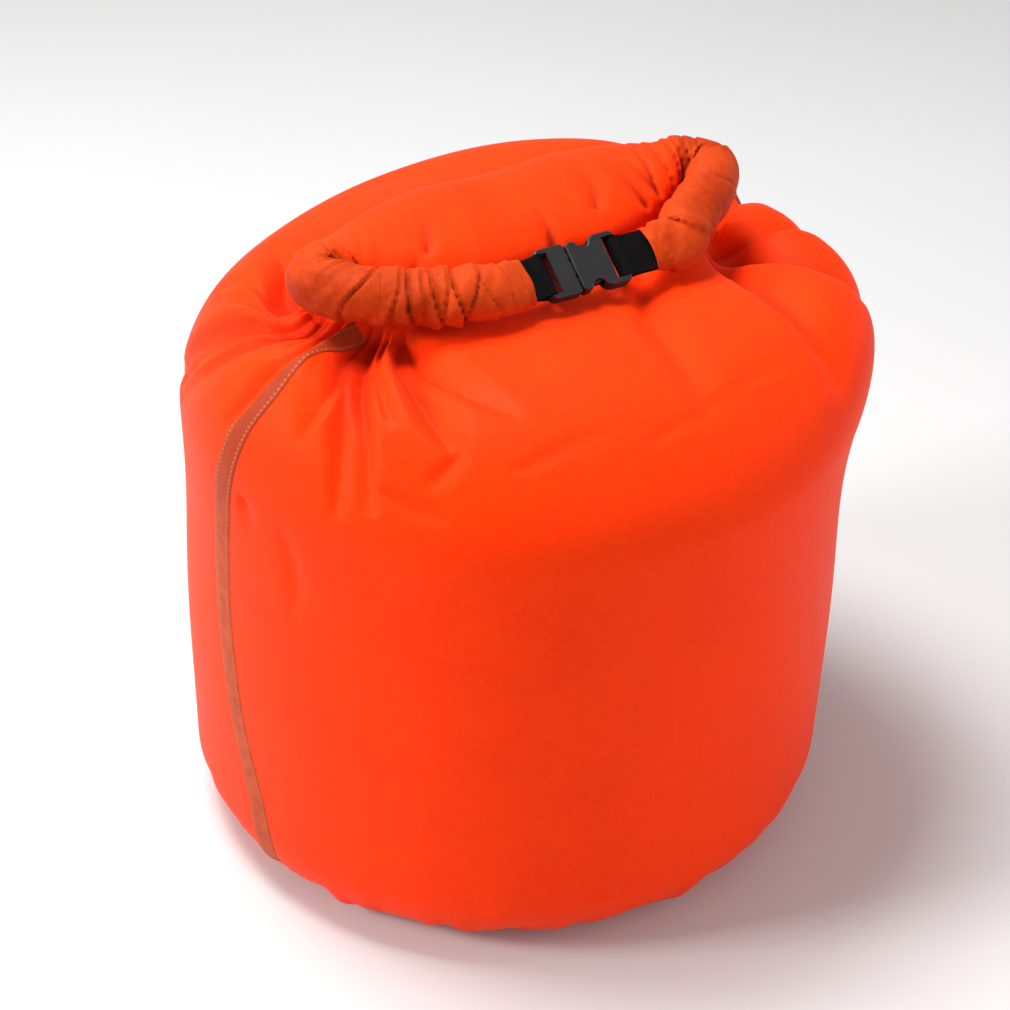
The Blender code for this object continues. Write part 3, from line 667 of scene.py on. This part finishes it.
# %% Pleats and creases of the roll
PLEATS = (
    # length along the roll, height, run-out and slant in mm, the angle where it is highest, its spread
    (4.0, 0.4, 9, 0.5, 60, 999), (12.5, 0.5, 8, 1.0, 60, 999), (21.5, 0.8, 6, 3.5, 70, 120),
    (28.0, 1.2, 7, -4.0, 60, 130), (35.0, 1.5, 6, 1.8, 60, 999), (40.0, 0.7, 4, -1.5, 70, 140),
    (44.5, 1.3, 5, 3.5, 60, 150), (50.0, 0.8, 4, -0.8, 60, 150), (55.5, 1.5, 6, 2.2, 50, 150),
    (61.0, 0.7, 5, -2.0, 60, 999), (76.0, 0.9, 6, -6.0, 60, 110), (83.0, 0.8, 6, -7.0, 150, 80),
    (90.0, 1.1, 6, -6.0, 155, 90), (96.5, 1.2, 5, -4.0, 160, 80), (102.0, 1.4, 5, -2.0, 160, 85),
    (107.5, 1.2, 5, 1.0, 160, 80), (113.5, 1.1, 6, 3.0, 155, 75), (121.0, 0.9, 8, 5.0, 150, 70),
    (281.0, 0.9, 8, -4.0, 120, 70), (289.0, 1.2, 7, -3.0, 130, 75), (296.0, 1.4, 6, -2.0, 150, 80),
    (302.5, 1.3, 6, 1.0, 160, 85), (309.0, 1.3, 6, 3.0, 165, 80), (316.0, 1.1, 7, 5.0, 160, 80),
    (326.0, 0.9, 8, 6.0, 120, 90), (341.0, 0.8, 10, 5.0, 40, 110),
)
ROLL_CREASES = (
    # points as (length in mm, angle), depth in mm, half width in mm before and after
    (((214, 178), (216, 140), (218, 105)), 2.6, 4, 8),
    (((158, 120), (163, 95), (172, 70)), 1.6, 8, 8),
    (((190, 60), (200, 80), (204, 110)), 1.0, 9, 9),
    (((244, 120), (250, 90), (252, 65)), 1.5, 8, 8),
    (((268, 150), (266, 110), (262, 80)), 2.0, 6, 9),
    (((279, 150), (276, 110), (273, 70)), 2.0, 6, 8),
    (((146, 175), (150, 140), (156, 118)), 2.2, 5, 7),
)
PLEAT_SCALE = 1.25
ROLL_SIDES = 84
ROLL_WAVES = ((2, 1.5, .0005), (3, -2.2, .0004), (5, 3.1, .00025))
HEM = ((0.93, -0.0002), (0.86, 0.0008), (0.80, 0.004), (0.45, 0.005), (0.02, 0.005))
RIGHT_ARM_LAYERS = ((377.0, 1.9, 10, 4.0), (393.0, 2.1, 8, 2.5))


def pleated(place, angle, pleats):
    """The height of the pleats: each rises as a step over 0.6 mm and runs out as exp(-d / run), the
    cloth before it is drawn in, and its foot line slants and wavers round the roll."""
    random = np.random.default_rng(5)
    total = np.zeros(np.broadcast(place, angle).shape)
    for middle, height, run, slant, highest, spread in pleats:
        waver = random.uniform(0, 2 * math.pi, 2)
        turned = np.radians(angle - highest)
        foot = middle + slant * np.sin(turned) + 0.8 * np.sin(2 * turned + waver[0])
        beyond = place * 1000 - foot
        fold = ease(beyond, -0.30, 0.30) * np.exp(-np.maximum(beyond, 0) / run)
        under = np.exp(-(np.minimum(beyond, 0) / 1.1) ** 2) * (beyond < 0)
        away = np.abs((angle - highest + 180) % 360 - 180)
        total = total + PLEAT_SCALE * height * 0.001 * (fold - 1.3 * under) * np.exp(-(away / spread) ** 2)
    return total


def roll_piece(name, first, last, rings, cap_first, cap_last):
    """A length of the roll with its pleats and creases, whose ends can be closed by a cap that is
    turned in, as the folded hem is."""
    sides = ROLL_SIDES
    place = np.linspace(first, last, rings)[:, None]
    angle = (np.arange(sides) * 360 / sides)[None]
    grid = roll_surface(place, angle)
    flat = grid.reshape(-1, 3)
    in_mm = [(tuple((s * 0.001, a) for s, a in line), *rest) for line, *rest in ROLL_CREASES]
    sunk = pressed_in(flat, roll_surface, in_mm, ends=999).reshape(grid.shape[:2])
    lift = pleated(place, angle, PLEATS)
    for middle, height, run, slant in RIGHT_ARM_LAYERS:
        foot = middle + slant * np.sin(np.radians(angle - 60))
        before = foot - place * 1000
        lift = lift + height * 0.001 * ease(before, -0.3, 0.3) * np.exp(-np.maximum(before, 0) / run)
    waves = wrinkle(angle + 360 * place / 0.05, place / 0.02, ROLL_WAVES)
    waves = waves * (1 - 0.8 * ease(place, 0.120, 0.150) * (1 - ease(place, 0.270, 0.300)))
    ring = np.roll(grid, -1, 1) - np.roll(grid, 1, 1)
    normal = np.cross(ring, np.gradient(grid, axis=0))
    normal /= np.linalg.norm(normal, axis=-1, keepdims=True)
    grid = grid + normal * (lift + waves - sunk)[..., None]
    blocks = [grid]
    for cap, end, inward in ((cap_first, grid[0], 1), (cap_last, grid[-1], -1)):
        if cap:
            middle = end.mean(0)
            inner = grid[4] if inward == 1 else grid[-5]
            direction = inner.mean(0) - end.mean(0)
            direction /= np.linalg.norm(direction)
            steps = [middle + (end - middle) * share + direction * depth for share, depth in HEM]
            blocks = [np.array(steps)[::-1], *blocks] if inward == 1 else [*blocks, np.array(steps)]
    points = np.concatenate(blocks)
    # How far the roll's cloth is pressed in, from 0 to 1, which the finish paints as shade.
    depth = ease(sunk - lift, 0.0004, 0.0018)
    before, after = len(blocks[0]) if cap_first else 0, len(blocks[-1]) if cap_last else 0
    depth = np.concatenate([np.zeros((before, sides)), depth, np.zeros((after, sides))])
    lengths = np.concatenate([np.full(before, first), place[:, 0], np.full(after, last)])
    lengths = np.repeat(lengths[:, None], sides, 1)
    uv = np.stack([lengths, np.broadcast_to(angle / 360, lengths.shape)], -1)
    return make_piece(name, points, grid_faces(*points.shape[:2], around=True), rolled, uv=uv, sunk=depth)


ARM_JOIN = 0.0715
TUCKED_UNDER = 0.0045  # how far the rest of the roll goes on inside the left arm
left_arm = roll_piece("roll_left_arm", 0.0, ARM_JOIN, 76, True, False)
rest_of_roll = roll_piece("roll_cloth", ARM_JOIN - TUCKED_UNDER, ROLL_LENGTH, 356, True, True)
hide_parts("roll_left_end")
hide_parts("roll_left_bend", "roll_middle", "roll_right_bend", "roll_right_end")
for piece in (left_arm, rest_of_roll):
    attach(piece, "closure")
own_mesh(left_arm)

# %% [markdown]
# The neck joins the bag to the roll. Its lower edge hangs inside the bag, so that the cloth stays
# closed when the roll is lifted.

# %% The neck under the roll
NECK_DROPS = (0.036, 0.030, 0.025, 0.021, 0.017, 0.013, 0.010, 0.007, 0.004, 0.002)
skirt_ring = body[-1]
middle = np.array([MIDDLE, 0.004, 0.300])
inside_roll = middle + (skirt_ring - middle) * [0.86, 0.55, 0]
skirt = [skirt_ring * (1 - t) + inside_roll * t for t in np.linspace(0, 1, 6)]
hanging = [middle + (skirt_ring - middle) * [0.99 - drop, 0.97 - drop, 1] - [0, 0, drop]
           for drop in NECK_DROPS]
skirt = np.stack(hanging + skirt)
neck = make_piece("neck_cloth", skirt, grid_faces(*skirt.shape[:2], around=True), coated)
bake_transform(neck)

# %% [markdown]
# ## Side seams
# The panels meet in a flat-felled seam: their edges are folded into each other and sewn down
# with two rows of stitching. It is a narrow band that lies on the cloth, so its points are the
# body's own columns beside the join, lifted by the thickness of the fold.

# %% The seam's finish
seam_finish, place, shader = finish("seam_strip", IOR=1.35, Specular_IOR_Level=0.3)
across_band, along = place.own_uv().part(0), place.own_uv().part(1)
rows_of_stitches = ((across_band - 0.5).math("ABSOLUTE") - 0.34).math("ABSOLUTE").ramp(0.055, 0.03)
dashes = (along * 400.0).math("FRACT").ramp(0.62, 0.55)
stitch = rows_of_stitches * dashes
worn = place.noise(160.0, 4.0, 0.65)
# The seam's own browner tone, mottled, and kept dark as partly painted shade of the valley that the seam lies
# in.
seam_tone_and_shade = worn.ramp(0.35, 0.65).mix((0.36, 0.044, 0.010, 1), (0.50, 0.080, 0.022, 1))
# Painted shade: the band darkens further towards its top, near the roll.
shoulder = place.part(2).ramp(0.19, 0.25)
seam_tone_and_shade = (shoulder * 0.85).mix(seam_tone_and_shade, (0.30, 0.026, 0.003, 1))
feed(shader, "Base Color", stitch.mix(seam_tone_and_shade, (0.46, 0.085, 0.028, 1)))
feed(shader, "Roughness", worn * 0.2 + 0.5)
feed(shader, "Normal", bump(stitch * 0.8 + place.noise(1500.0) * 0.3 - rows_of_stitches * 0.4, 0.5, 0.0005))

# %% The two seam bands
normals = outward(body)


def seam_band(name, node, column, first, last):
    """A band over the join at that column, three columns to each side, from one row to another. Its
    two rims are let into the cloth, so that it has a thickness and no open edge shows."""
    offsets = (-3, -3, -2, -1, 0, 1, 2, 3, 3)
    lift = np.array([-0.6, 0.40, 0.50, 0.60, 0.65, 0.60, 0.50, 0.40, -0.6]) * 0.001
    chosen = [(column + k) % COLUMNS for k in offsets]
    cloth = body[first:last, chosen]
    points = cloth + normals[first:last, chosen] * lift[None, :, None]
    length = np.concatenate([[0], np.cumsum(np.linalg.norm(np.diff(cloth[:, 4], axis=0), axis=-1))])
    across = np.array([0, 0.02, 0.17, 0.33, 0.5, 0.67, 0.83, 0.98, 1.0])
    uv = np.stack(np.broadcast_arrays(across[None, :], length[:, None]), -1)
    piece = make_piece(name, points, grid_faces(*points.shape[:2]), seam_finish, uv)
    finer = piece.modifiers.new("finer", "SUBSURF")
    finer.levels = finer.render_levels = 2
    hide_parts(node)
    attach(piece, "bag")
    print(name, "is", round(length[-1], 3), "m long")


seam_band("left_seam_band", "left_side_seam", half, SEAM_ROW, len(levels) - 3)
seam_band("right_seam_band", "right_side_seam", 0, SEAM_ROW, len(levels) - 3)

# %% [markdown]
# ## Webbing and buckle
# The webbing is a tight plain weave, 20 mm wide, folded round a bar of each buckle half. The
# solids already have that shape, so they stay and get a woven finish, turned to lie along the
# buckle, which leans back by 38 degrees.

# %% Webbing
BLACK_LOW, BLACK_HIGH = (0.0010, 0.0010, 0.0011, 1), (0.0070, 0.0068, 0.0070, 1)
WEFT_PITCH, WARP_PITCH = 0.0013, 0.0011
BUCKLE_PLACE = (0.0132, FRONT, ROLL_TOP_OF_NECK)
webbing_finish, place, shader = finish("webbing", IOR=1.35, Specular_IOR_Level=0.10)
strap = place.node("ShaderNodeMapping", {"vector_type": "TEXTURE"}, {
    "Vector": place, "Location": BUCKLE_PLACE, "Rotation": (LEAN_OF_ARMS, 0, 0)})
run, width = strap.part(0), strap.part(1)
run_wave = (run * (2 * math.pi / WEFT_PITCH)).math("SINE")
width_wave = (width * (2 * math.pi / WARP_PITCH)).math("SINE")
weave = (run_wave * width_wave) * 0.5 + 0.5
fibre = place.noise(2600.0, 2.0)
edge_fold = (width.math("ABSOLUTE")).ramp(0.0080, 0.0100)
feed(shader, "Base Color", (weave * 0.7 + fibre * 0.3).mix(BLACK_LOW, BLACK_HIGH))
feed(shader, "Roughness", fibre * 0.25 + 0.55)
feed(shader, "Normal", bump(weave * 0.8 + fibre * 0.25 + edge_fold * 0.3, 0.9, 0.0007))

# %% Moulded plastic
moulded, place, shader = finish("moulded_plastic", IOR=1.46, Specular_IOR_Level=0.35)
texture = place.noise(3200.0, 2.0)
smear = place.noise(90.0, 3.0)
feed(shader, "Base Color", smear.mix((0.012, 0.0115, 0.0118, 1), (0.022, 0.021, 0.0215, 1)))
feed(shader, "Roughness", smear * 0.12 + texture * 0.08 + 0.30)
feed(shader, "Normal", bump(texture, 0.10, 0.0002))

# %% Hidden pieces: tapes, stiffeners and bar tacks
tape_finish, place, shader = finish("sealing_tape", Specular_IOR_Level=0.6)
feed(shader, "Base Color", place.noise(120.0, 3.0).mix((0.52, 0.47, 0.42, 1), (0.66, 0.62, 0.57, 1)))
feed(shader, "Roughness", place.noise(60.0, 2.0) * 0.2 + 0.22)
feed(shader, "Normal", bump(place.noise(500.0, 2.0), 0.2, 0.0004))

stiff_finish, place, shader = finish("stiffener_plastic", Specular_IOR_Level=0.5)
feed(shader, "Base Color", place.noise(200.0, 2.0).mix((0.70, 0.70, 0.67, 1), (0.78, 0.78, 0.76, 1)))
feed(shader, "Roughness", place.noise(300.0, 2.0) * 0.15 + 0.38)

thread_finish, place, shader = finish("thread", Specular_IOR_Level=0.3)
zigzag = place.node("ShaderNodeTexWave", {"bands_direction": "Z"},
                    {"Vector": place, "Scale": 900.0, "Distortion": 1.5})
feed(shader, "Base Color", zigzag.mix((0.003, 0.003, 0.003, 1), (0.02, 0.02, 0.02, 1)))
feed(shader, "Roughness", zigzag * 0.2 + 0.6)
feed(shader, "Normal", bump(zigzag, 0.8, 0.0006))

# %% The CAD nodes that stay
KEPT_FINISHES = {"webbing": webbing_finish, "buckle": moulded, "prong": moulded, "tape": tape_finish,
                 "stiffener": stiff_finish, "bar_tack": thread_finish}
for word, kept_finish in KEPT_FINISHES.items():
    for name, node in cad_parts.items():
        if word in name:
            for index in range(len(node.material_slots)):
                node.material_slots[index].material = kept_finish
            if not node.material_slots:
                node.data.materials.append(kept_finish)

# %% The tapes inside
TAPE_DEPTH, TAPE_WALL = 0.0010, 0.0004


def inner_band(name, node, cloth, normal, around=False):
    """A tape that lies 1 mm inside the cloth, with a wall of 0.4 mm: the grid, its copy further in
    and the rims between them are one closed sheet."""
    outer, inner = cloth - TAPE_DEPTH * normal, cloth - (TAPE_DEPTH + TAPE_WALL) * normal
    if around:
        points = np.concatenate([outer, inner[::-1], outer[:1]])
    else:
        points = np.concatenate([outer, inner[:, ::-1], outer[:, :1]], 1)
    piece = make_piece(name, points, grid_faces(*points.shape[:2], around=around), tape_finish)
    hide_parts(node)
    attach(piece, "bag")
    return piece


tape_rows = slice(SEAM_ROW + 5, len(levels) - 4)
for name, node, column in (("left_tape", "left_seam_tape", half), ("right_tape", "right_seam_tape", 0)):
    chosen = [(column + k) % COLUMNS for k in range(-4, 5)]
    inner_band(name, node, body[tape_rows, chosen], normals[tape_rows, chosen])
bottom_rows = slice(SEAM_ROW - 3, SEAM_ROW + 4)
inner_band("bottom_tape", "bottom_seam_tape", body[bottom_rows], normals[bottom_rows], around=True)

# %% [markdown]
# ## Sizes of the cloth
# The panels are cut as flat pieces. Their width is half the girth, and their length runs from
# the bottom seam up to the roll, where they are gathered.

# %% The front panel's area and its climb
def grid_area(points):
    """The area of a grid of quads, as the cross products of their diagonals, halved."""
    one, two = points[1:, 1:] - points[:-1, :-1], points[1:, :-1] - points[:-1, 1:]
    return np.linalg.norm(np.cross(one, two), axis=-1).sum() / 2


panel_points = body[SEAM_ROW:, half:]
climb = np.linalg.norm(np.diff(panel_points, axis=0), axis=-1).sum(0).mean()
print("front panel area", round(grid_area(panel_points), 4), "climb", round(climb, 3))

# %% The floor
floor_finish, place, shader = finish("floor", Roughness=0.85)
feed(shader, "Base Color", place.noise(3.0).mix((0.60, 0.60, 0.60, 1), (0.63, 0.63, 0.63, 1)))
across = np.linspace(-8, 8, 5)
floor_points = np.stack(np.meshgrid(across, across, [-0.0005]), -1).reshape(5, 5, 3)
floor = make_piece("floor", floor_points, grid_faces(5, 5), floor_finish)
